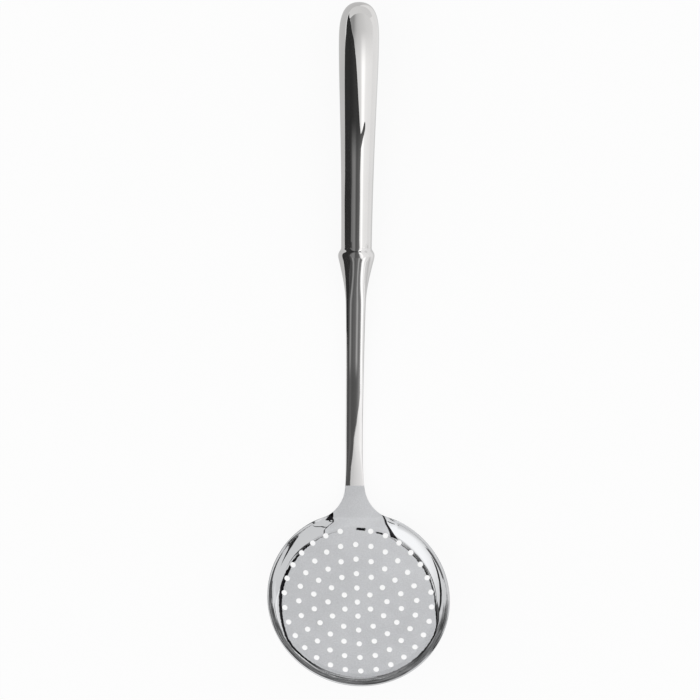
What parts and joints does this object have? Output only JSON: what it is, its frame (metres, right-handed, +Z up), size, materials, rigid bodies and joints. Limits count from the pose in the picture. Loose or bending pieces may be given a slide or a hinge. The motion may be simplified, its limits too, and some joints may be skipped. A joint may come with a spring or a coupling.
{
  "type": "kitchen skimmer",
  "caption": "Hand skimmer: shallow pierced round bowl with a flared neck, on a bent flat shank that swells into a round collar and a hollow round grip.",
  "frame": {"origin": "bottom centre of the bounding box, on the table that the skimmer lies on", "axes": "+Y along the skimmer towards the butt of the grip, -Y towards the tip of the bowl, +Z up out of the hollow of the bowl, X across the bowl"},
  "size_m": [0.1, 0.3722, 0.0466],
  "materials": {
    "satin_sheet": "fine satin, neutral light grey, with a brighter polished wall and lip",
    "polished_forging": "mirror polish with faint lengthwise polishing streaks",
    "polished_grip": "mirror polish, softly worn"
  },
  "bodies": {
    "root": {"bowl": "satin_sheet", "shank": "polished_forging", "grip_front_shell": "polished_grip", "grip_rear_shell": "polished_grip"}
  },
  "joints": []
}
